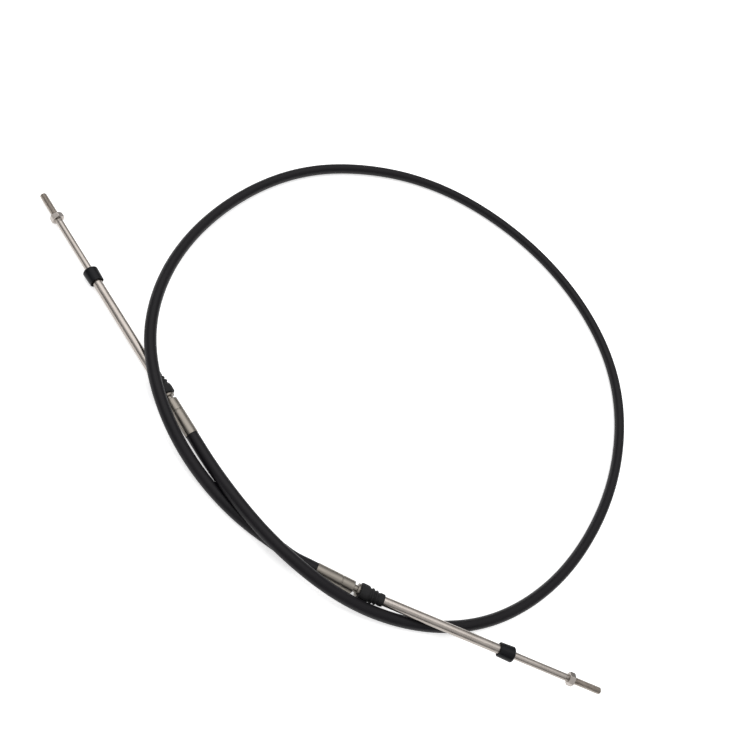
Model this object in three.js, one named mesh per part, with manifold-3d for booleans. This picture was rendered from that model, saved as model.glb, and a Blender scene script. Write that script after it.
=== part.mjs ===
// Push-pull control cable for a boat: a black jacketed conduit laid in one self-crossing loop,
// with the same sliding end on both ends. Millimetres, +Z up. The origin is on the floor,
// midway between the two ends.
//
// Each end, from the conduit outwards: a swaged hub with a clamp groove, a rubber boot over a
// ball swivel, a support tube, a rod seal, and a rod that slides in the tube and carries a
// jam nut on its threaded tip.

import * as THREE from 'three';
import { mergeVertices } from 'three/addons/utils/BufferGeometryUtils.js';
import Module from 'manifold-3d';

const wasm = await Module();
wasm.setup();

// Gap between pieces that touch or slide.
const clearance = 0.3;
const roundSides = 24;

// Conduit.
const conduitDiameter = 8.0;
const conduitSides = 12;
const conduitStepLength = 18.5;
const straightLeadOut = 16;

// Hub, measured along its axis from the swivel's centre back to the conduit.
const hubDiameter = 8.6;
const hubLipSetback = 4.0;
const hubLipDiameter = 8.4;
const hubLipLength = 1.6;
const clampGrooveDiameter = 4.9;
const clampGrooveLength = 2.6;
const hubFrontLength = 8.3;
const swageGrooveLength = 0.6;
const swageGrooveDepth = 0.35;
const hubBarrelLength = 17.7;
const hubEdgeChamfer = 0.3;
const noseDiameter = 7.4;
const noseReach = 2.5;

// Ball swivel between the hub's nose and the support tube.
const ballDiameter = 5.8;
const ballNeckDiameter = 4.0;
const ballSocketDepth = 1.9;
const coreBoreDiameter = 2.4;
const tubeShoulder = 3.7;
const boreTaperLength = 1.5;
const ballSteps = 8;

// Support tube.
const tubeDiameter = 6.35;
const rodDiameter = 4.76;
const tubeBoreDiameter = rodDiameter + 2 * clearance;

// Rod seal, a rubber sleeve pushed over the tube's outer end. sealStart is how far its mouth
// is from the swivel's centre, and the tube ends a set depth inside it.
const sealStart = { a: 88.7, b: 94.2 };
const sealLength = 10.4;
const sealTubeSideDiameter = 9.5;
const sealRodSideDiameter = 10.3;
const sealWiperLength = 3.2;
const sealBevel = 0.9;
const sealMouthDepth = 1.2;
const sealMouthWall = 0.5;

// Rod, its thread and its nut. The rod is at the middle of its travel when it stands
// rodMiddleReach out of the seal.
const rodMiddleReach = 64;
const restOffset = 2;
const rodInsideLength = 50;
const threadDiameter = 4.7;
const threadLength = 24;
const threadReliefLength = 0.8;
const threadReliefDiameter = 4.2;
const tipChamfer = 0.8;
const nutAcrossFlats = 8.0;
const nutThickness = 3.9;
const nutCornerRound = 0.55;
const nutBoreChamfer = 0.4;
const nutSetback = { a: 18.6, b: 19.2 };

// Rubber boot over the swivel.
const bootCollarDiameter = 11.2;
const bootCollarLength = 5.7;
const bootShoulderLength = 1.8;
const bootRidges = 2;
const bootRidgeDiameter = 10;
const bootRidgeHeight = 0.55;
const bootCrestShare = 0.3;
const bootEndDiameter = 8.2;
const bootEndLength = 3.4;
const bootLength = 17;
const bootRimRound = 0.5;
const bootCollarClearance = 0.5;

// Where each end lies: the swivel's centre, and the direction of the tube and of the hub.
// Angles are in degrees. Headings are measured from +X towards +Y, and a rise is upwards.
const ends = {
  a: {
    swivel: [-98.05, 14.91, 5.8],
    tubeHeading: 127.44,
    tubeRise: -0.35,
    hubHeading: 127.13,
    hubRise: -1.48,
    reach: rodMiddleReach + restOffset,
  },
  b: {
    swivel: [44.05, -98.73, 5.8],
    tubeHeading: -17.92,
    tubeRise: 8.21,
    hubHeading: -19.39,
    hubRise: 2.32,
    reach: rodMiddleReach - restOffset,
  },
};

// The conduit's centre line from hub a round to hub b. It humps over itself and over tube a,
// and passes under tube b.
const conduitRoute = [
  [-49.7, -48.0, 9.95],
  [-28.8, -69.5, 11.8],
  [-5.2, -87.9, 12.45],
  [21.2, -101.7, 10.0],
  [54.8, -111.0, 5.6],
  [94.6, -113.6, 4.1],
  [133.9, -106.0, 4.06],
  [169.9, -88.5, 4.06],
  [205.0, -60.7, 4.06],
  [233.9, -27.2, 4.06],
  [257.3, 10.5, 4.06],
  [273.9, 51.3, 4.06],
  [282.6, 94.4, 4.06],
  [280.8, 138.3, 4.06],
  [266.9, 179.7, 4.06],
  [242.8, 216.1, 4.06],
  [210.3, 245.8, 4.06],
  [171.7, 267.3, 4.06],
  [129.5, 279.7, 4.06],
  [85.8, 281.5, 4.06],
  [42.9, 273.0, 4.06],
  [2.9, 256.2, 4.06],
  [-30.5, 232.7, 4.15],
  [-59.7, 202.1, 4.9],
  [-84.8, 165.0, 6.7],
  [-103.2, 124.2, 9.8],
  [-112.6, 85.5, 12.4],
  [-113.1, 45.7, 14.1],
  [-104.1, 12.1, 13.9],
  [-86.8, -18.0, 9.9],
  [-62.9, -43.7, 5.4],
  [-35.1, -64.8, 4.15],
  [-9.0, -79.3, 4.1],
];

const jacketBlack = new THREE.MeshStandardMaterial({ color: 0x1c1b1e, roughness: 0.5 });
const rubberBlack = new THREE.MeshStandardMaterial({ color: 0x141417, roughness: 0.7 });
const sealBlack = new THREE.MeshStandardMaterial({ color: 0x0f1013, roughness: 0.4 });
const stainless = new THREE.MeshStandardMaterial({
  color: 0xa9a098,
  roughness: 0.3,
  metalness: 1,
});
const swagedSteel = new THREE.MeshStandardMaterial({
  color: 0x9d958c,
  roughness: 0.4,
  metalness: 1,
});

// A unit vector from a heading and a rise.
function direction(heading, rise) {
  const h = THREE.MathUtils.degToRad(heading);
  const r = THREE.MathUtils.degToRad(rise);
  return new THREE.Vector3(
    Math.cos(r) * Math.cos(h),
    Math.cos(r) * Math.sin(h),
    Math.sin(r),
  );
}

// The turn that takes +Y, the axis of every turned piece, to a direction.
function turnTo(dir) {
  return new THREE.Quaternion().setFromUnitVectors(new THREE.Vector3(0, 1, 0), dir);
}

// A turned solid. The outline is a closed loop of [radius, y] points, given anticlockwise
// when the radius runs right and y runs up.
function turned(outline) {
  const points = outline.map(([r, y]) => new THREE.Vector2(r, y));
  points.push(points[0].clone());
  return closed(new THREE.LatheGeometry(points, roundSides));
}

// The same surface with its doubled vertices joined and its flat slivers dropped.
function closed(geometry) {
  geometry.deleteAttribute('normal');
  geometry.deleteAttribute('uv');
  const merged = mergeVertices(geometry, 1e-4);
  const index = merged.index.array;
  const kept = [];
  for (let i = 0; i < index.length; i += 3) {
    const [p, q, r] = [index[i], index[i + 1], index[i + 2]];
    if (p !== q && q !== r && r !== p) kept.push(p, q, r);
  }
  merged.setIndex(kept);
  merged.computeVertexNormals();
  return merged;
}

function toSolid(geometry) {
  const mesh = new wasm.Mesh({
    numProp: 3,
    vertProperties: new Float32Array(geometry.attributes.position.array),
    triVerts: new Uint32Array(geometry.index.array),
  });
  return new wasm.Manifold(mesh);
}

function toGeometry(solid) {
  const mesh = solid.getMesh();
  const geometry = new THREE.BufferGeometry();
  geometry.setAttribute('position', new THREE.BufferAttribute(mesh.vertProperties, 3));
  geometry.setIndex(new THREE.BufferAttribute(mesh.triVerts, 1));
  geometry.computeVertexNormals();
  return geometry;
}

// Points of an arc round the swivel's centre, from one angle to another in degrees.
function arc(radius, from, to) {
  const points = [];
  for (let i = 0; i <= ballSteps; i += 1) {
    const angle = THREE.MathUtils.degToRad(from + ((to - from) * i) / ballSteps);
    points.push([radius * Math.cos(angle), radius * Math.sin(angle)]);
  }
  return points;
}

// Distances from the swivel's centre back to the hub's edges.
const lipBack = hubLipSetback + hubLipLength;
const frontFace = lipBack + clampGrooveLength;
const frontBack = frontFace + hubFrontLength;
const barrelFront = frontBack + swageGrooveLength;
const hubEnd = barrelFront + hubBarrelLength;

// The hub, with the ball socket in its nose. y = 0 is the swivel's centre.
function hubGeometry() {
  const hub = hubDiameter / 2;
  const c = hubEdgeChamfer;
  const socket = ballDiameter / 2 + clearance;
  const mouthAngle = THREE.MathUtils.radToDeg(Math.asin(ballSocketDepth / socket));
  const mouthRadius = Math.sqrt(socket ** 2 - ballSocketDepth ** 2);
  return turned([
    [0, -hubEnd],
    [hub - c, -hubEnd],
    [hub, -hubEnd + c],
    [hub, -barrelFront - c],
    [hub - swageGrooveDepth, -barrelFront],
    [hub - swageGrooveDepth, -frontBack],
    [hub, -frontBack + c],
    [hub, -frontFace - c],
    [hub - c, -frontFace],
    [clampGrooveDiameter / 2, -frontFace],
    [clampGrooveDiameter / 2, -lipBack],
    [hubLipDiameter / 2 - c, -lipBack],
    [hubLipDiameter / 2, -lipBack + c],
    [hubLipDiameter / 2, -hubLipSetback - c],
    [hubLipDiameter / 2 - c, -hubLipSetback],
    [noseDiameter / 2, -hubLipSetback],
    [noseDiameter / 2, noseReach - c],
    [noseDiameter / 2 - c, noseReach],
    [mouthRadius + noseReach - ballSocketDepth, noseReach],
    ...arc(socket, mouthAngle, -90),
  ]);
}

// How far the tube reaches into the seal.
const tubeInSeal = sealLength - sealWiperLength - clearance;

// The support tube, with the swivel's ball turned on its inner end. y = 0 is the ball's centre.
function supportTubeGeometry(outerEnd) {
  const ball = ballDiameter / 2;
  const neck = ballNeckDiameter / 2;
  const bore = coreBoreDiameter / 2;
  const neckAngle = THREE.MathUtils.radToDeg(Math.acos(neck / ball));
  const boreAngle = THREE.MathUtils.radToDeg(Math.acos(bore / ball));
  const boreStart = tubeShoulder + boreTaperLength;
  return turned([
    ...arc(ball, -boreAngle, neckAngle),
    [neck, tubeShoulder],
    [tubeDiameter / 2 - clearance, tubeShoulder],
    [tubeDiameter / 2, tubeShoulder + clearance],
    [tubeDiameter / 2, outerEnd],
    [tubeBoreDiameter / 2, outerEnd],
    [tubeBoreDiameter / 2, boreStart + boreTaperLength],
    [bore, boreStart],
  ]);
}

// The rod seal, drawn with y = 0 at its mouth. The mouth takes the tube, and the far end wipes
// the rod.
function rodSealGeometry() {
  const wide = sealRodSideDiameter / 2;
  const narrow = sealTubeSideDiameter / 2;
  const tubeHole = tubeDiameter / 2 + clearance;
  const rodHole = rodDiameter / 2 + clearance;
  const shoulder = sealLength - sealWiperLength;
  return turned([
    [narrow - sealMouthWall, 0],
    [narrow, 0],
    [wide, sealLength - sealBevel],
    [wide - sealBevel, sealLength],
    [rodHole, sealLength],
    [rodHole, shoulder],
    [tubeHole, shoulder],
    [tubeHole, sealMouthDepth],
  ]);
}

// The rod with its thread, drawn with y = 0 at the face of the seal.
function rodGeometry(reach) {
  const rod = rodDiameter / 2;
  const thread = threadDiameter / 2;
  const relief = threadReliefDiameter / 2;
  const threadStart = reach - threadLength;
  return turned([
    [0, -rodInsideLength],
    [rod - tipChamfer, -rodInsideLength],
    [rod, -rodInsideLength + tipChamfer],
    [rod, threadStart - threadReliefLength],
    [relief, threadStart - threadReliefLength / 2],
    [thread, threadStart],
    [thread, reach - tipChamfer],
    [thread - tipChamfer, reach],
    [0, reach],
  ]);
}

// A hexagon nut with rounded corners, drawn from y = 0 outwards.
function jamNutGeometry() {
  const corner = nutAcrossFlats / 2 / Math.cos(Math.PI / 6);
  const hexagon = new THREE.Shape();
  for (let i = 0; i < 6; i += 1) {
    const angle = (i * Math.PI) / 3;
    const [x, y] = [corner * Math.cos(angle), corner * Math.sin(angle)];
    if (i === 0) hexagon.moveTo(x, y);
    else hexagon.lineTo(x, y);
  }
  hexagon.closePath();
  const prism = new THREE.ExtrudeGeometry(hexagon, { depth: nutThickness, bevelEnabled: false });
  prism.rotateX(-Math.PI / 2);
  const bore = threadDiameter / 2 + clearance;
  const face = nutAcrossFlats / 2;
  const round = turned([
    [bore + nutBoreChamfer, 0],
    [face, 0],
    [corner, nutCornerRound],
    [corner, nutThickness - nutCornerRound],
    [face, nutThickness],
    [bore + nutBoreChamfer, nutThickness],
    [bore, nutThickness - nutBoreChamfer],
    [bore, nutBoreChamfer],
  ]);
  return toGeometry(toSolid(closed(prism)).intersect(toSolid(round)));
}

// The boot, straight, with y = 0 at the swivel's centre: a plain collar over the hub's nose,
// two ridges, and a small collar on the tube.
function bootOutline() {
  const start = -hubLipSetback + clearance;
  const collarEnd = start + bootCollarLength;
  const endStart = start + bootLength - bootEndLength;
  const end = start + bootLength;
  const collar = bootCollarDiameter / 2;
  const small = bootEndDiameter / 2;
  const inner = tubeDiameter / 2 + clearance;
  const over = noseDiameter / 2 + bootCollarClearance;
  const firstValley = collarEnd + bootShoulderLength;
  const pitch = (endStart - firstValley) / bootRidges;
  const outline = [
    [collar - bootRimRound, start],
    [collar, start + bootRimRound],
    [collar, collarEnd],
  ];
  for (let i = 0; i < bootRidges; i += 1) {
    const valleyY = firstValley + pitch * i;
    const crest = THREE.MathUtils.lerp(bootRidgeDiameter / 2, small, i / bootRidges);
    outline.push([crest - bootRidgeHeight, valleyY]);
    outline.push([crest, valleyY + pitch * bootCrestShare]);
    outline.push([crest, valleyY + pitch * (1 - bootCrestShare)]);
  }
  outline.push([small - bootRidgeHeight / 2, endStart]);
  outline.push([small, endStart + bootRimRound]);
  outline.push([small, end - bootRimRound]);
  outline.push([small - bootRimRound, end]);
  outline.push([inner, end]);
  outline.push([inner, noseReach + 2 * clearance + over - inner]);
  outline.push([over, noseReach + 2 * clearance]);
  outline.push([over, start]);
  return outline;
}

// Bends a straight boot so that it starts along the hub and ends along the tube.
function bentBootGeometry(hubTurn, tubeTurn) {
  const geometry = turned(bootOutline());
  const position = geometry.attributes.position;
  const point = new THREE.Vector3();
  const turn = new THREE.Quaternion();
  for (let i = 0; i < position.count; i += 1) {
    point.fromBufferAttribute(position, i);
    turn.slerpQuaternions(hubTurn, tubeTurn, THREE.MathUtils.smoothstep(point.y, 0, tubeShoulder));
    point.applyQuaternion(turn);
    position.setXYZ(i, point.x, point.y, point.z);
  }
  geometry.computeVertexNormals();
  return geometry;
}

// Where the conduit leaves a hub, a distance behind the hub's end face.
function conduitPoint(end, behind) {
  const away = direction(end.hubHeading, end.hubRise).negate();
  const point = new THREE.Vector3(...end.swivel);
  return point.addScaledVector(away, hubEnd + clearance + behind);
}

function conduitGeometry() {
  const curve = new THREE.CatmullRomCurve3(
    [
      conduitPoint(ends.a, 0),
      conduitPoint(ends.a, straightLeadOut),
      ...conduitRoute.map((p) => new THREE.Vector3(...p)),
      conduitPoint(ends.b, straightLeadOut),
      conduitPoint(ends.b, 0),
    ],
    false,
    'centripetal',
  );
  const section = new THREE.Shape();
  for (let i = 0; i < conduitSides; i += 1) {
    const angle = (i * 2 * Math.PI) / conduitSides;
    const x = (conduitDiameter / 2) * Math.cos(angle);
    const y = (conduitDiameter / 2) * Math.sin(angle);
    if (i === 0) section.moveTo(x, y);
    else section.lineTo(x, y);
  }
  section.closePath();
  const geometry = new THREE.ExtrudeGeometry(section, {
    steps: Math.round(curve.getLength() / conduitStepLength),
    extrudePath: curve,
    bevelEnabled: false,
  });
  return closed(geometry);
}

function named(name, geometry, material) {
  const mesh = new THREE.Mesh(geometry, material);
  mesh.name = name;
  return mesh;
}

// One end of the cable: the hub and boot stay with the conduit, and the tube swivels.
function makeEnd(letter) {
  const end = ends[letter];
  const hubTurn = turnTo(direction(end.hubHeading, end.hubRise));
  const tubeTurn = turnTo(direction(end.tubeHeading, end.tubeRise));
  const group = new THREE.Group();
  group.position.set(...end.swivel);

  const hub = named(`hub_${letter}`, hubGeometry(), swagedSteel);
  hub.quaternion.copy(hubTurn);
  const boot = named(`swivel_boot_${letter}`, bentBootGeometry(hubTurn, tubeTurn), rubberBlack);

  const arm = new THREE.Group();
  arm.quaternion.copy(tubeTurn);
  const mouth = sealStart[letter];
  const tube = named(`support_tube_${letter}`, supportTubeGeometry(mouth + tubeInSeal), stainless);
  const seal = named(`rod_seal_${letter}`, rodSealGeometry(), sealBlack);
  seal.position.y = mouth;
  const rod = named(`rod_${letter}`, rodGeometry(end.reach), stainless);
  rod.position.y = mouth + sealLength;
  const nut = named(`jam_nut_${letter}`, jamNutGeometry(), swagedSteel);
  nut.position.y = rod.position.y + end.reach - nutSetback[letter] - nutThickness;
  arm.add(tube, seal, rod, nut);

  group.add(hub, boot, arm);
  return group;
}

const cable = new THREE.Group();
cable.add(named('conduit', conduitGeometry(), jacketBlack));
cable.add(makeEnd('a'));
cable.add(makeEnd('b'));

export default cable;
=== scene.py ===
"""Looks of the boat control cable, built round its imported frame. Metres, +Z up."""

import math

import bpy
import numpy as np
from mathutils import Matrix, Quaternion, Vector


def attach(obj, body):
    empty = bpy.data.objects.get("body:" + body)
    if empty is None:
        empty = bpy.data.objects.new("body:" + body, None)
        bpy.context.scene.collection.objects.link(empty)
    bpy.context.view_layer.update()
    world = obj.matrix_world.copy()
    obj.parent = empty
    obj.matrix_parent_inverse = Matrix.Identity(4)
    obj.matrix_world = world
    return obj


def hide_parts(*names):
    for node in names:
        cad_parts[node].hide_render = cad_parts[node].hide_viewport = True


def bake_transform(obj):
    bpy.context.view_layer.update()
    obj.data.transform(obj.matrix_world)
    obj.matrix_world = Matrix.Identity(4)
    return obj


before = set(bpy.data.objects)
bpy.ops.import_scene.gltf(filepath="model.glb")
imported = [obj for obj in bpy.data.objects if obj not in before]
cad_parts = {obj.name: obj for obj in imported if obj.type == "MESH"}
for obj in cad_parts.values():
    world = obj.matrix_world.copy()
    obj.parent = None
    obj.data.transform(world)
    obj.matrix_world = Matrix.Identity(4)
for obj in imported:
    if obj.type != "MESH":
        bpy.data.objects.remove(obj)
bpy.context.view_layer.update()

MM = 0.001
UP = np.array((0.0, 0.0, 1.0))
ROUND_SIDES = 96
CLOSE_FIT = 0.05 * MM

# How far a rounding reaches from its corner
SOFT_EDGE = 0.3 * MM
RUBBER_EDGE = 0.25 * MM
CRISP_EDGE = 0.1 * MM
FINE_EDGE = 0.06 * MM

# Conduit
CONDUIT_RADIUS = 4.0 * MM
CONDUIT_SIDES = 40
CONDUIT_STEP = 1.5 * MM
LEAD_OUT = 16 * MM
CONDUIT_TUCK = 1.2 * MM

# Hub, from the swivel's centre back to the conduit
HUB_RADIUS = 4.3 * MM
LIP_FRONT = 4.0 * MM
LIP_BACK = 5.6 * MM
LIP_RADIUS = 4.2 * MM
GROOVE_RADIUS = 2.45 * MM
FRONT_FACE = 8.2 * MM
FRONT_BACK = 16.5 * MM
BARREL_FRONT = 17.1 * MM
HUB_END = 34.8 * MM
NECK_DEPTH = 0.35 * MM
MOUTH_DEPTH = 1.6 * MM
NOSE_RADIUS = 3.7 * MM
NOSE_REACH = 2.5 * MM

# Boot: its rim over the hub, then its folds, counted from the rim, and how far they lean
BOOT_START = -3.72 * MM
FOLDS_START = 5.5 * MM
FOLDS_END = 14.2 * MM
FOLDS_EASE = 1.5 * MM
BOOT_SLANT = 0.3 * MM
BOOT_TUBE_FIT = 0.06 * MM
BOOT_NOSE_FIT = 0.3 * MM

# Support tube, seal and rod
TUBE_RADIUS = 3.175 * MM
TUBE_BORE = 2.68 * MM
TUBE_SHOULDER = 3.7 * MM
TUBE_TIP_GAP = 0.3 * MM
BALL_RADIUS = 2.9 * MM
BALL_NECK_RADIUS = 2.0 * MM
BALL_HOLE_RADIUS = 1.2 * MM
SEAL_LENGTH = 10.4 * MM
SEAL_MOUTH_RADIUS = 4.75 * MM
SEAL_RADIUS = 5.15 * MM
SEAL_FACE_RADIUS = 4.25 * MM
SEAL_BEVEL = 0.9 * MM
SEAL_WIPER = 3.2 * MM
SEAL_BORE = 2.44 * MM
ROD_RADIUS = 2.38 * MM
ROD_INSIDE = 50 * MM
THREAD_RADIUS = 2.35 * MM
THREAD_LENGTH = 24 * MM
THREAD_PITCH = 0.794 * MM
THREAD_DEPTH = 0.46 * MM
THREAD_FADE = 1.2 * MM
ROWS_PER_TURN = 14
THREAD_TIP_BEVEL = 0.8 * MM
NUT_THICKNESS = 3.9 * MM
NUT_FLAT = 4.0 * MM
NUT_BORE = THREAD_RADIUS - 0.1 * MM
NUT_BEVEL = math.radians(30)

# Each end: the swivel's centre, then heading and rise in degrees of the tube and of the hub,
# then how far the seal's mouth is from the swivel, the rod's reach past the seal, and the nut's
# setback from the rod's tip.
ENDS = {
    "a": {
        "swivel": (-0.09805, 0.01491, 0.0058),
        "tube": (127.44, -0.35),
        "hub": (127.13, -1.48),
        "seal": 88.7 * MM,
        "reach": 66 * MM,
        "nut_setback": 18.6 * MM,
    },
    "b": {
        "swivel": (0.04405, -0.09873, 0.0058),
        "tube": (-17.92, 8.21),
        "hub": (-19.39, 2.32),
        "seal": 94.2 * MM,
        "reach": 62 * MM,
        "nut_setback": 19.2 * MM,
    },
}

# The conduit's centre line from hub a round to hub b.
CONDUIT_ROUTE = [
    (-0.0497, -0.0480, 0.00995),
    (-0.0288, -0.0695, 0.01180),
    (-0.0052, -0.0879, 0.01245),
    (0.0212, -0.1017, 0.01000),
    (0.0548, -0.1110, 0.00560),
    (0.0946, -0.1136, 0.00410),
    (0.1339, -0.1060, 0.00406),
    (0.1699, -0.0885, 0.00406),
    (0.2050, -0.0607, 0.00406),
    (0.2339, -0.0272, 0.00406),
    (0.2573, 0.0105, 0.00406),
    (0.2739, 0.0513, 0.00406),
    (0.2826, 0.0944, 0.00406),
    (0.2808, 0.1383, 0.00406),
    (0.2669, 0.1797, 0.00406),
    (0.2428, 0.2161, 0.00406),
    (0.2103, 0.2458, 0.00406),
    (0.1717, 0.2673, 0.00406),
    (0.1295, 0.2797, 0.00406),
    (0.0858, 0.2815, 0.00406),
    (0.0429, 0.2730, 0.00406),
    (0.0029, 0.2562, 0.00406),
    (-0.0305, 0.2327, 0.00415),
    (-0.0597, 0.2021, 0.00490),
    (-0.0848, 0.1650, 0.00670),
    (-0.1032, 0.1242, 0.00980),
    (-0.1126, 0.0855, 0.01240),
    (-0.1131, 0.0457, 0.01410),
    (-0.1041, 0.0121, 0.01390),
    (-0.0868, -0.0180, 0.00990),
    (-0.0629, -0.0437, 0.00540),
    (-0.0351, -0.0648, 0.00415),
    (-0.0090, -0.0793, 0.00410),
]

# The camera, set to the photograph's view
CAMERA_PLACE = Vector((-0.1711, -0.2605, 0.4852))
CAMERA_AIM = Vector((0.0524, 0.0667, 0.0040))
CAMERA_ROLL = math.radians(41.5)
CAMERA_FOCAL_MM = 40.32
SENSOR_MM = 36.0

# Light: the sky's strength at the lower and the upper height of a ray, the light overhead, and
# the floor
SKY_HEIGHTS = (0.1, 0.8)
SKY_STRENGTHS = (0.1, 0.9)
OVERHEAD_PLACE = (-0.35, 0.6, 1.5)
OVERHEAD_SIZE = 1.8
OVERHEAD_WATTS = 13
FLOOR_REACH = 4.0
FLOOR_TONE = 0.93
FLOOR_GLOW = 0.55


def direction(heading, rise):
    """A unit vector from a heading and a rise in degrees."""
    h, r = math.radians(heading), math.radians(rise)
    return np.array((math.cos(r) * math.cos(h), math.cos(r) * math.sin(h), math.sin(r)))


def axes(along):
    """Side, up and along for a piece that is turned about a direction."""
    side = np.cross(UP, along)
    side /= np.linalg.norm(side)
    return np.stack((side, np.cross(along, side), along))


def make_camera():
    data = bpy.data.cameras.new("camera")
    data.lens = CAMERA_FOCAL_MM
    data.sensor_width = SENSOR_MM
    data.sensor_fit = "HORIZONTAL"
    data.clip_start = 0.01
    camera = bpy.data.objects.new("camera", data)
    bpy.context.collection.objects.link(camera)
    look = (CAMERA_AIM - CAMERA_PLACE).to_track_quat("-Z", "Y")
    turn = look @ Quaternion((0, 0, 1), CAMERA_ROLL)
    camera.matrix_world = Matrix.Translation(CAMERA_PLACE) @ turn.to_matrix().to_4x4()
    bpy.context.scene.camera = camera


# Materials

class Surface:
    """A node material. Even values go on the shader's own sockets."""

    def __init__(self, name, **values):
        self.material = bpy.data.materials.new(name)
        self.material.use_nodes = True
        self.nodes = self.material.node_tree.nodes
        self.links = self.material.node_tree.links
        self.shader = self.nodes["Principled BSDF"]
        for socket, value in values.items():
            self.shader.inputs[socket.replace("_", " ")].default_value = value
        self.place = self.node("ShaderNodeAttribute")
        self.place.attribute_name = "unrolled"

    def node(self, kind, **settings):
        made = self.nodes.new(kind)
        for name, value in settings.items():
            setattr(made, name, value)
        return made

    def join(self, source, target):
        self.links.new(source, target)

    def scaled(self, scale):
        """The unrolled place in metres times a scale for each axis."""
        made = self.node("ShaderNodeVectorMath", operation="MULTIPLY")
        self.join(self.place.outputs["Vector"], made.inputs[0])
        made.inputs[1].default_value = scale
        return made.outputs["Vector"]

    def noise(self, scale, detail=3.0, rough=0.5):
        """Noise whose grain is 1 / scale metres on each axis."""
        made = self.node("ShaderNodeTexNoise")
        self.join(self.scaled(scale), made.inputs["Vector"])
        made.inputs["Scale"].default_value = 1.0
        made.inputs["Detail"].default_value = detail
        made.inputs["Roughness"].default_value = rough
        return made.outputs["Fac"]

    def spread(self, value, low, high, to_low, to_high):
        """Maps a value's range on to another, and holds it there."""
        made = self.node("ShaderNodeMapRange")
        self.join(value, made.inputs["Value"])
        for socket, number in zip(
            ("From Min", "From Max", "To Min", "To Max"), (low, high, to_low, to_high)
        ):
            made.inputs[socket].default_value = number
        return made.outputs["Result"]

    def total(self, first, second):
        made = self.node("ShaderNodeMath", operation="ADD")
        self.join(first, made.inputs[0])
        self.join(second, made.inputs[1])
        return made.outputs["Value"]

    def colour(self, factor, first, second):
        """The base colour: one where the factor is 0, another where it is 1."""
        made = self.node("ShaderNodeMix", data_type="RGBA")
        self.join(factor, made.inputs["Factor"])
        made.inputs["A"].default_value = (*first, 1.0)
        made.inputs["B"].default_value = (*second, 1.0)
        self.join(made.outputs["Result"], self.shader.inputs["Base Color"])

    def roughness(self, source):
        self.join(source, self.shader.inputs["Roughness"])

    def relief(self, height, depth, strength=1.0):
        """Adds a bump of the given depth in metres on top of those before it."""
        made = self.node("ShaderNodeBump")
        made.inputs["Distance"].default_value = depth
        made.inputs["Strength"].default_value = strength
        self.join(height, made.inputs["Height"])
        normal = self.shader.inputs["Normal"]
        if normal.is_linked:
            self.join(normal.links[0].from_socket, made.inputs["Normal"])
        self.join(made.outputs["Normal"], normal)


def jacket_material():
    s = Surface("jacket", Specular_IOR_Level=0.2)
    grain = s.noise((900, 900, 900), 4)
    cloudy = s.noise((60, 60, 25), 3)
    drawn = s.noise((1800, 1800, 8), 3, 0.6)
    patches = s.spread(cloudy, 0.35, 0.7, 0, 1)
    s.colour(patches, (0.0040, 0.0034, 0.0048), (0.0074, 0.0062, 0.0082))
    s.roughness(s.spread(s.total(drawn, cloudy), 0.7, 1.3, 0.4, 0.54))
    s.relief(drawn, 0.00006, 0.5)
    s.relief(grain, 0.00003, 0.4)
    return s.material


def boot_material():
    s = Surface("boot_rubber", Specular_IOR_Level=0.35)
    grain = s.noise((1500, 1500, 1500), 4, 0.65)
    cloudy = s.noise((220, 220, 220), 3)
    patches = s.spread(cloudy, 0.35, 0.7, 0, 1)
    s.colour(patches, (0.0045, 0.0045, 0.0050), (0.0095, 0.0093, 0.0098))
    s.roughness(s.spread(grain, 0.35, 0.7, 0.62, 0.8))
    s.relief(grain, 0.00008, 0.5)
    return s.material


def seal_material():
    s = Surface("seal_rubber", Specular_IOR_Level=0.15)
    grain = s.noise((1200, 1200, 1200), 3)
    cloudy = s.noise((150, 150, 150), 3)
    patches = s.spread(cloudy, 0.35, 0.7, 0, 1)
    s.colour(patches, (0.0028, 0.0030, 0.0044), (0.0052, 0.0055, 0.0072))
    s.roughness(s.spread(cloudy, 0.3, 0.7, 0.3, 0.42))
    s.relief(grain, 0.00003, 0.3)
    return s.material


def ground_metal(name, dark, light, rough, lines, depth):
    """Steel with fine lines. rough holds the least and the most roughness, lines the grain on
    each axis, and depth how deep the lines are in metres."""
    s = Surface(name, Metallic=1.0)
    fine = s.noise(lines, 3, 0.6)
    cloudy = s.noise((140, 140, 70), 4)
    worn = s.total(fine, cloudy)
    s.colour(s.spread(worn, 0.7, 1.3, 0, 1), dark, light)
    s.roughness(s.spread(worn, 0.7, 1.3, *rough))
    s.relief(fine, depth, 0.5)
    return s.material


def stainless_material():
    return ground_metal(
        "stainless",
        dark=(0.32, 0.288, 0.262),
        light=(0.425, 0.388, 0.357),
        rough=(0.24, 0.36),
        lines=(300, 300, 9000),
        depth=0.000006,
    )


def thread_material():
    return ground_metal(
        "rolled_thread",
        dark=(0.30, 0.265, 0.235),
        light=(0.46, 0.42, 0.38),
        rough=(0.28, 0.42),
        lines=(900, 900, 900),
        depth=0.00001,
    )


def hub_material():
    return ground_metal(
        "swaged_steel",
        dark=(0.175, 0.158, 0.138),
        light=(0.26, 0.237, 0.208),
        rough=(0.3, 0.42),
        lines=(2600, 2600, 60),
        depth=0.00001,
    )


def nut_material():
    return ground_metal(
        "nut_steel",
        dark=(0.34, 0.31, 0.285),
        light=(0.47, 0.43, 0.40),
        rough=(0.26, 0.38),
        lines=(500, 500, 3500),
        depth=0.000008,
    )


# Mesh code

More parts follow.
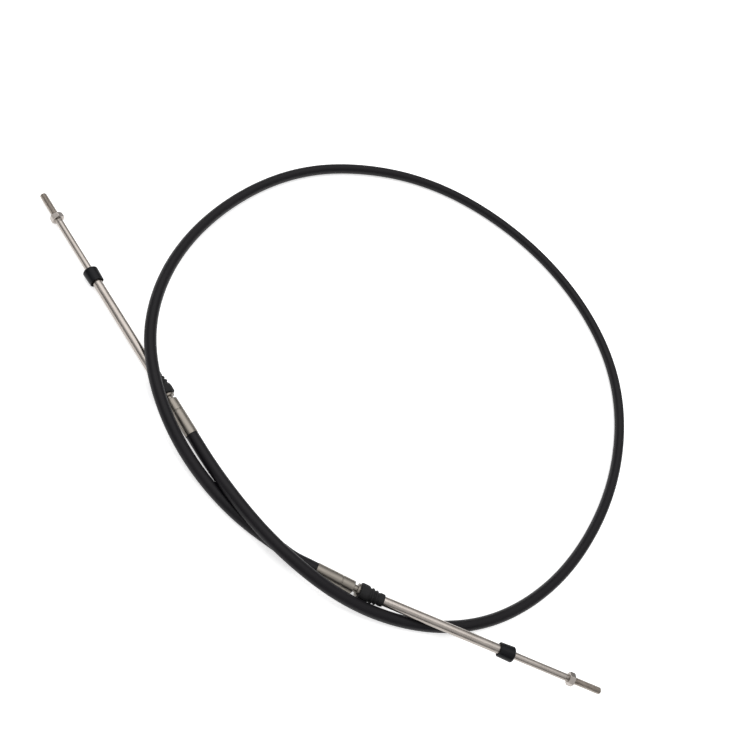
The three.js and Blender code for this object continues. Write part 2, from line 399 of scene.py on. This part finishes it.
def natural_spline(points):
    """A function from distance along the chords to a point on a smooth curve through points."""
    points = np.array(points, float)
    chord = np.linalg.norm(np.diff(points, axis=0), axis=1)
    knots = np.concatenate(([0.0], np.cumsum(chord)))
    n = len(points)
    system = np.zeros((n, n))
    right = np.zeros_like(points)
    system[0, 0] = system[-1, -1] = 1.0
    for i in range(1, n - 1):
        system[i, i - 1] = chord[i - 1]
        system[i, i] = 2 * (chord[i - 1] + chord[i])
        system[i, i + 1] = chord[i]
        after = (points[i + 1] - points[i]) / chord[i]
        before = (points[i] - points[i - 1]) / chord[i - 1]
        right[i] = 6 * (after - before)
    bend = np.linalg.solve(system, right)

    def at(value):
        i = np.clip(np.searchsorted(knots, value) - 1, 0, n - 2)
        width = chord[i][:, None]
        a = (knots[i + 1] - value)[:, None]
        b = (value - knots[i])[:, None]
        cubic = (bend[i] * a**3 + bend[i + 1] * b**3) / (6 * width)
        low = (points[i] / width - bend[i] * width / 6) * a
        high = (points[i + 1] / width - bend[i + 1] * width / 6) * b
        return cubic + low + high

    return at, knots[-1]


def soften(corners, closed=False):
    """Rounds an outline. corners holds (radius, y, size of the rounding), each a number or one
    for every side. Returns rows of (radius, y)."""
    steps = 5
    given = [np.stack(np.broadcast_arrays(r, y), axis=-1).astype(float) for r, y, _ in corners]
    sides = max(p.size // 2 for p in given)
    points = [np.broadcast_to(p.reshape(-1, 2), (sides, 2)) for p in given]
    rows = []
    for i, (*_, size) in enumerate(corners):
        here = points[i]
        if not size or (not closed and i in (0, len(points) - 1)):
            rows.append(here)
            continue
        back = points[i - 1] - here
        ahead = points[(i + 1) % len(points)] - here
        back = back / np.linalg.norm(back, axis=1)[:, None]
        ahead = ahead / np.linalg.norm(ahead, axis=1)[:, None]
        first, last = here + back * size, here + ahead * size
        rows.append(first + back * size * 0.35)
        for t in np.linspace(0, 1, steps):
            rows.append((1 - t) ** 2 * first + 2 * t * (1 - t) * here + t**2 * last)
        rows.append(last + ahead * size * 0.35)
    return np.stack(rows)


def rings_of(rows, sides, start_angle=0.0):
    """Turns rows of (radius, y) about the y axis. Returns places as (across, up, y)."""
    angle = start_angle + np.linspace(0, 2 * math.pi, sides, endpoint=False)
    radius, y = np.broadcast_to(rows, (len(rows), sides, 2)).transpose(2, 0, 1)
    return np.stack((radius * np.cos(angle), radius * np.sin(angle), y), axis=-1)


def grid_mesh(name, rings, unrolled, closed, materials, banded=None):
    """A tube through rings of points, joined end to start if closed and else capped. unrolled
    is each point's place in the straight piece. banded gives each row's material."""
    rows, sides = rings.shape[:2]
    points = rings.reshape(-1, 3).tolist()
    flat = unrolled.reshape(-1, 3).tolist()
    faces, slots = [], []
    for i in range(rows if closed else rows - 1):
        low, high = i * sides, ((i + 1) % rows) * sides
        for j in range(sides):
            k = (j + 1) % sides
            faces.append((low + j, low + k, high + k, high + j))
            slots.append(banded[i] if banded is not None else 0)
    if not closed:
        for row, order in ((0, -1), (rows - 1, 1)):
            centre = len(points)
            first = row * sides
            points.append(rings[row].mean(axis=0).tolist())
            flat.append(unrolled[row].mean(axis=0).tolist())
            for j in range(sides):
                pair = (first + j, first + (j + 1) % sides)[::order]
                faces.append((*pair, centre))
                slots.append(banded[row - 1] if banded is not None and row else 0)
    mesh = bpy.data.meshes.new(name)
    mesh.from_pydata(points, [], faces)
    mesh.update()
    place = mesh.attributes.new("unrolled", "FLOAT_VECTOR", "POINT")
    place.data.foreach_set("vector", np.array(flat, np.float32).ravel())
    mesh.polygons.foreach_set("use_smooth", [True] * len(faces))
    mesh.polygons.foreach_set("material_index", slots)
    mesh.set_sharp_from_angle(angle=math.radians(38))
    for material in materials:
        mesh.materials.append(material)
    piece = bpy.data.objects.new(name, mesh)
    bpy.context.collection.objects.link(piece)
    return piece


def turned(name, rows, sides, origin, along, closed, materials, banded=None):
    """A piece turned about an axis through an origin."""
    local = rings_of(rows, sides)
    world = np.array(origin) + local @ axes(along)
    return grid_mesh(name, world, local, closed, materials, banded)


def join_up(piece, body, node):
    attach(piece, body)
    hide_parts(node)


# Conduit

def conduit_point(end, behind):
    """A point behind a hub's end face, in line with the hub."""
    return np.array(end["swivel"]) - direction(*end["hub"]) * (HUB_END + behind)


def make_conduit(material):
    a, b = ENDS["a"], ENDS["b"]
    points = [
        conduit_point(a, -CONDUIT_TUCK),
        conduit_point(a, LEAD_OUT / 2),
        conduit_point(a, LEAD_OUT),
        *CONDUIT_ROUTE,
        conduit_point(b, LEAD_OUT),
        conduit_point(b, LEAD_OUT / 2),
        conduit_point(b, -CONDUIT_TUCK),
    ]
    at, reach = natural_spline(points)
    dense = at(np.linspace(0, reach, 8000))
    dense[:, 2] = np.maximum(dense[:, 2], CONDUIT_RADIUS)
    length = np.concatenate(([0.0], np.cumsum(np.linalg.norm(np.diff(dense, axis=0), axis=1))))
    places = np.linspace(0, length[-1], round(length[-1] / CONDUIT_STEP))
    line = np.stack([np.interp(places, length, dense[:, k]) for k in range(3)], axis=1)
    tangents = np.gradient(line, axis=0)
    tangents /= np.linalg.norm(tangents, axis=1)[:, None]
    side = axes(tangents[0])[0]
    sides = []
    for tangent in tangents:
        side = side - tangent * (side @ tangent)
        side /= np.linalg.norm(side)
        sides.append(side)
    sides = np.array(sides)
    ups = np.cross(tangents, sides)
    angle = np.linspace(0, 2 * math.pi, CONDUIT_SIDES, endpoint=False)
    across, rise = np.cos(angle) * CONDUIT_RADIUS, np.sin(angle) * CONDUIT_RADIUS
    rings = (
        line[:, None, :]
        + sides[:, None, :] * across[None, :, None]
        + ups[:, None, :] * rise[None, :, None]
    )
    unrolled = np.zeros_like(rings)
    unrolled[:, :, 0] = across
    unrolled[:, :, 1] = rise
    unrolled[:, :, 2] = places[:, None]
    piece = grid_mesh("conduit_jacket", rings, unrolled, False, [material])
    join_up(piece, "cable", "conduit")


# One end of the cable

def make_hub(letter, end, material):
    mouth = CONDUIT_RADIUS + CLOSE_FIT
    neck = HUB_RADIUS - NECK_DEPTH
    rows = soften(
        [
            (0.6 * mouth, MOUTH_DEPTH - HUB_END, 0),
            (mouth, MOUTH_DEPTH - HUB_END, 0),
            (mouth, -HUB_END, 0.04 * MM),
            (HUB_RADIUS, -HUB_END, CRISP_EDGE),
            (HUB_RADIUS, -BARREL_FRONT, SOFT_EDGE),
            (neck, -BARREL_FRONT, CRISP_EDGE),
            (neck, -FRONT_BACK, CRISP_EDGE),
            (HUB_RADIUS, -FRONT_BACK, SOFT_EDGE),
            (HUB_RADIUS, -FRONT_FACE, SOFT_EDGE),
            (GROOVE_RADIUS, -FRONT_FACE, 0.15 * MM),
            (GROOVE_RADIUS, -LIP_BACK, 0.15 * MM),
            (LIP_RADIUS, -LIP_BACK, SOFT_EDGE),
            (LIP_RADIUS, -LIP_FRONT, SOFT_EDGE),
            (NOSE_RADIUS, -LIP_FRONT, CRISP_EDGE),
            (NOSE_RADIUS, NOSE_REACH, 0.2 * MM),
            (0.6 * NOSE_RADIUS, NOSE_REACH, 0),
        ]
    )
    along = direction(*end["hub"])
    piece = turned(
        f"hub_body_{letter}", rows, ROUND_SIDES, end["swivel"], along, False, [material]
    )
    join_up(piece, "cable", f"hub_{letter}")


# The boot's outside: how far from its rim, and the radius there, in millimetres.
BOOT_PROFILE = [
    (0.00, 4.95),
    (0.08, 5.20),
    (0.30, 5.42),
    (0.90, 5.55),
    (2.20, 5.60),
    (4.40, 5.60),
    (5.30, 5.50),
    (6.10, 5.20),
    (6.80, 4.70),
    (7.35, 4.42),
    (7.85, 4.62),
    (8.40, 5.00),
    (8.80, 5.08),
    (9.25, 4.85),
    (9.75, 4.30),
    (10.15, 4.02),
    (10.60, 4.20),
    (11.10, 4.60),
    (11.50, 4.70),
    (11.95, 4.48),
    (12.45, 3.95),
    (12.85, 3.72),
    (13.30, 3.88),
    (13.90, 4.10),
    (14.80, 4.14),
    (15.80, 4.10),
    (16.50, 4.00),
    (16.85, 3.85),
    (17.00, 3.55),
]


def make_boot(letter, end, material):
    at, reach = natural_spline([(r * MM, BOOT_START + d * MM) for d, r in BOOT_PROFILE])
    outside = at(np.linspace(0, reach, 150))
    inner = TUBE_RADIUS + BOOT_TUBE_FIT
    over = NOSE_RADIUS + BOOT_NOSE_FIT
    stop = outside[-1, 1]
    inside = np.array(
        [
            (inner, stop),
            (inner, 0.5 * stop),
            (inner, NOSE_REACH + 1.2 * MM),
            (over, NOSE_REACH + 0.4 * MM),
            (over, 0.0),
            (over, BOOT_START),
        ]
    )
    rows = np.concatenate((outside, inside))[:, None, :]
    local = rings_of(rows, ROUND_SIDES)
    from_rim = local[..., 2] - BOOT_START
    folded = np.clip((from_rim - FOLDS_START) / FOLDS_EASE, 0, 1)
    folded *= np.clip((FOLDS_END - from_rim) / FOLDS_EASE, 0, 1)
    slant = -BOOT_SLANT * local[..., 0] / np.linalg.norm(local[..., :2], axis=-1)
    shaped = local.copy()
    shaped[..., 2] += slant * folded
    hub_axes, tube_axes = axes(direction(*end["hub"])), axes(direction(*end["tube"]))
    hub_turn = Matrix(hub_axes.T.tolist()).to_quaternion()
    tube_turn = Matrix(tube_axes.T.tolist()).to_quaternion()
    share = np.clip(shaped[..., 2] / TUBE_SHOULDER, 0, 1)
    share = share * share * (3 - 2 * share)
    levels = 33
    steps = np.linspace(0, 1, levels)
    turns = np.array([hub_turn.slerp(tube_turn, t).to_matrix().transposed() for t in steps])
    whole = share * (levels - 1)
    lower = np.minimum(whole.astype(int), levels - 2)
    part = (whole - lower)[..., None, None]
    turn = turns[lower] * (1 - part) + turns[lower + 1] * part
    world = np.array(end["swivel"]) + np.einsum("ijk,ijkl->ijl", shaped, turn)
    piece = grid_mesh(f"boot_{letter}", world, local, True, [material])
    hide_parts(f"swivel_boot_{letter}")
    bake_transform(piece)


def make_tube(letter, end, material):
    outer_end = end["seal"] + SEAL_LENGTH - SEAL_WIPER - TUBE_TIP_GAP
    ball = []
    for degrees in range(-60, 46, 15):
        angle = math.radians(degrees)
        ball.append((BALL_RADIUS * math.cos(angle), BALL_RADIUS * math.sin(angle), 0))
    rows = soften(
        [
            *ball,
            (BALL_NECK_RADIUS, TUBE_SHOULDER, CRISP_EDGE),
            (TUBE_RADIUS, TUBE_SHOULDER, SOFT_EDGE),
            (TUBE_RADIUS, 0.3 * outer_end, 0),
            (TUBE_RADIUS, 0.6 * outer_end, 0),
            (TUBE_RADIUS, outer_end, CRISP_EDGE),
            (TUBE_BORE, outer_end, CRISP_EDGE),
            (TUBE_BORE, TUBE_SHOULDER + 3 * MM, 0),
            (BALL_HOLE_RADIUS, TUBE_SHOULDER + 1.5 * MM, 0),
        ],
        closed=True,
    )
    along = direction(*end["tube"])
    piece = turned(f"tube_{letter}", rows, ROUND_SIDES, end["swivel"], along, True, [material])
    join_up(piece, f"tube_{letter}", f"support_tube_{letter}")


def make_seal(letter, end, material):
    length = SEAL_LENGTH
    socket = TUBE_RADIUS + CLOSE_FIT
    rows = soften(
        [
            (4.2 * MM, 0.1 * MM, 0.12 * MM),
            (SEAL_MOUTH_RADIUS, 0.0, RUBBER_EDGE),
            (SEAL_RADIUS, length - SEAL_BEVEL, SOFT_EDGE),
            (SEAL_FACE_RADIUS, length, RUBBER_EDGE),
            (2.9 * MM, length - 0.15 * MM, CRISP_EDGE),
            (SEAL_BORE, length - 0.6 * MM, CRISP_EDGE),
            (SEAL_BORE, length - SEAL_WIPER, CRISP_EDGE),
            (socket, length - SEAL_WIPER, CRISP_EDGE),
            (socket, 1.9 * MM, 0.15 * MM),
            (3.6 * MM, 1.3 * MM, 0.2 * MM),
        ],
        closed=True,
    )
    along = direction(*end["tube"])
    mouth = np.array(end["swivel"]) + along * end["seal"]
    piece = turned(f"seal_{letter}", rows, ROUND_SIDES, mouth, along, True, [material])
    join_up(piece, f"tube_{letter}", f"rod_seal_{letter}")


def make_rod(letter, end, bar, thread):
    sides = 60
    reach = end["reach"]
    plain_end = reach - THREAD_LENGTH
    body = soften(
        [
            (0.5 * ROD_RADIUS, -ROD_INSIDE, 0),
            (ROD_RADIUS, -ROD_INSIDE, 0.6 * MM),
            (ROD_RADIUS, -0.5 * ROD_INSIDE, 0),
            (ROD_RADIUS, 0.0, 0),
            (ROD_RADIUS, plain_end - 0.8 * MM, 0.15 * MM),
            (THREAD_RADIUS - 0.25 * MM, plain_end - 0.4 * MM, CRISP_EDGE),
            (THREAD_RADIUS - 0.1 * MM, plain_end, 0),
        ]
    )
    count = round(THREAD_LENGTH / THREAD_PITCH * ROWS_PER_TURN)
    y = np.linspace(plain_end, reach, count)[1:, None]
    turn = np.linspace(0, 1, sides, endpoint=False)[None, :]
    phase = np.mod(y / THREAD_PITCH - turn, 1.0)
    ridge = np.clip(np.abs(phase - 0.5) * 2.6 - 0.18, 0, 1)
    fade = np.clip((y - plain_end) / THREAD_FADE, 0.2, 1)
    radius = THREAD_RADIUS - THREAD_DEPTH * ridge * fade
    radius = np.minimum(radius, THREAD_RADIUS - THREAD_TIP_BEVEL + (reach - y) * 1.15)
    threaded = np.stack((radius, np.broadcast_to(y, radius.shape)), axis=-1)
    body = np.broadcast_to(body, (len(body), sides, 2))
    rows = np.concatenate((body, threaded))
    banded = [0 if i < len(body) - 1 else 1 for i in range(len(rows))]
    along = direction(*end["tube"])
    origin = np.array(end["swivel"]) + along * (end["seal"] + SEAL_LENGTH)
    piece = turned(f"rod_bar_{letter}", rows, sides, origin, along, False, [bar, thread], banded)
    join_up(piece, f"rod_{letter}", f"rod_{letter}")


def make_nut(letter, end, material):
    sides = 144
    angle = np.linspace(0, 2 * math.pi, sides, endpoint=False)
    within = np.mod(angle + math.pi / 6, math.pi / 3) - math.pi / 6
    hexagon = np.minimum(NUT_FLAT / np.cos(within), 0.985 * NUT_FLAT / math.cos(math.pi / 6))
    washer = 0.95 * NUT_FLAT
    drop = (hexagon - washer) * math.tan(NUT_BEVEL)
    entry = NUT_BORE + 0.35 * MM
    top = NUT_THICKNESS
    rows = soften(
        [
            (entry, 0.0, FINE_EDGE),
            (washer, 0.0, FINE_EDGE),
            (hexagon, drop, 0.08 * MM),
            (hexagon, top - drop, 0.08 * MM),
            (washer, top, FINE_EDGE),
            (entry, top, FINE_EDGE),
            (NUT_BORE, top - 0.45 * MM, 0),
            (NUT_BORE, 0.45 * MM, 0),
        ],
        closed=True,
    )
    along = direction(*end["tube"])
    foot = end["seal"] + SEAL_LENGTH + end["reach"] - end["nut_setback"] - NUT_THICKNESS
    origin = np.array(end["swivel"]) + along * foot
    piece = turned(f"nut_{letter}", rows, sides, origin, along, True, [material])
    join_up(piece, f"rod_{letter}", f"jam_nut_{letter}")


# Stage

def make_floor():
    mesh = bpy.data.meshes.new("floor")
    reach = FLOOR_REACH
    corners = [(-reach, -reach, 0), (reach, -reach, 0), (reach, reach, 0), (-reach, reach, 0)]
    mesh.from_pydata(corners, [], [(0, 1, 2, 3)])
    floor = bpy.data.objects.new("floor", mesh)
    bpy.context.collection.objects.link(floor)
    material = bpy.data.materials.new("floor")
    material.use_nodes = True
    shader = material.node_tree.nodes["Principled BSDF"]
    shader.inputs["Base Color"].default_value = (FLOOR_TONE, FLOOR_TONE, FLOOR_TONE, 1)
    shader.inputs["Roughness"].default_value = 0.9
    shader.inputs["Emission Color"].default_value = (1, 1, 1, 1)
    shader.inputs["Emission Strength"].default_value = FLOOR_GLOW
    mesh.materials.append(material)


def make_overhead():
    """A wide soft light that points straight down."""
    data = bpy.data.lights.new("overhead", "AREA")
    data.energy = OVERHEAD_WATTS
    data.shape = "SQUARE"
    data.size = OVERHEAD_SIZE
    light = bpy.data.objects.new("overhead", data)
    light.location = OVERHEAD_PLACE
    bpy.context.collection.objects.link(light)


def make_sky():
    """A sky that is dark at the horizon and bright overhead."""
    world = bpy.data.worlds.new("studio")
    bpy.context.scene.world = world
    world.use_nodes = True
    nodes, links = world.node_tree.nodes, world.node_tree.links
    ray = nodes.new("ShaderNodeTexCoord")
    parts = nodes.new("ShaderNodeSeparateXYZ")
    links.new(ray.outputs["Generated"], parts.inputs["Vector"])
    height = nodes.new("ShaderNodeMapRange")
    height.interpolation_type = "SMOOTHSTEP"
    links.new(parts.outputs["Z"], height.inputs["Value"])
    ramp = (*SKY_HEIGHTS, *SKY_STRENGTHS)
    for socket, value in zip(("From Min", "From Max", "To Min", "To Max"), ramp):
        height.inputs[socket].default_value = value
    background = nodes["Background"]
    background.inputs["Color"].default_value = (1, 1, 1, 1)
    links.new(height.outputs["Result"], background.inputs["Strength"])


make_camera()
make_conduit(jacket_material())
boot, seal, nut = boot_material(), seal_material(), nut_material()
stainless, thread, hub = stainless_material(), thread_material(), hub_material()
for letter, end in ENDS.items():
    make_hub(letter, end, hub)
    make_boot(letter, end, boot)
    make_tube(letter, end, stainless)
    make_seal(letter, end, seal)
    make_rod(letter, end, stainless, thread)
    make_nut(letter, end, nut)
make_floor()
make_sky()
make_overhead()
bpy.context.scene.view_settings.view_transform = "Standard"
